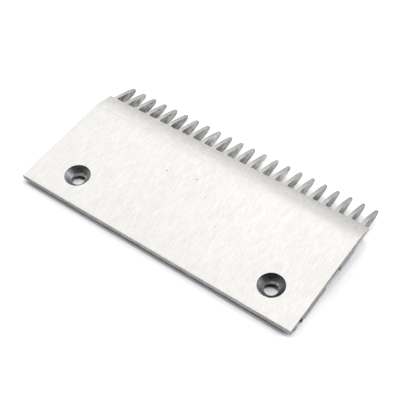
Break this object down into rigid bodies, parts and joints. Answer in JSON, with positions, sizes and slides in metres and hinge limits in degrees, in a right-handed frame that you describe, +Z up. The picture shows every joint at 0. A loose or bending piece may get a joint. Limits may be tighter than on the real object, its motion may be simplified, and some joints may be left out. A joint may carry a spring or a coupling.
{
  "type": "escalator comb plate",
  "caption": "Flat cast aluminium comb plate for an escalator landing: a brushed plate with a sloping nose, a row of teeth along its front and two countersunk screw holes.",
  "frame": {"origin": "centre of the piece's box on its lowest level, which is the undersides of the teeth", "axes": "+X along the row of teeth, +Y from the back edge to the tooth tips, +Z up out of the flat top face"},
  "size_m": [0.1994, 0.107, 0.0158],
  "materials": {
    "cast_aluminium": "die-cast aluminium, brushed along the teeth on the flat top, blasted on the nose and teeth"
  },
  "bodies": {
    "root": {"comb_plate": "cast_aluminium"}
  },
  "joints": []
}
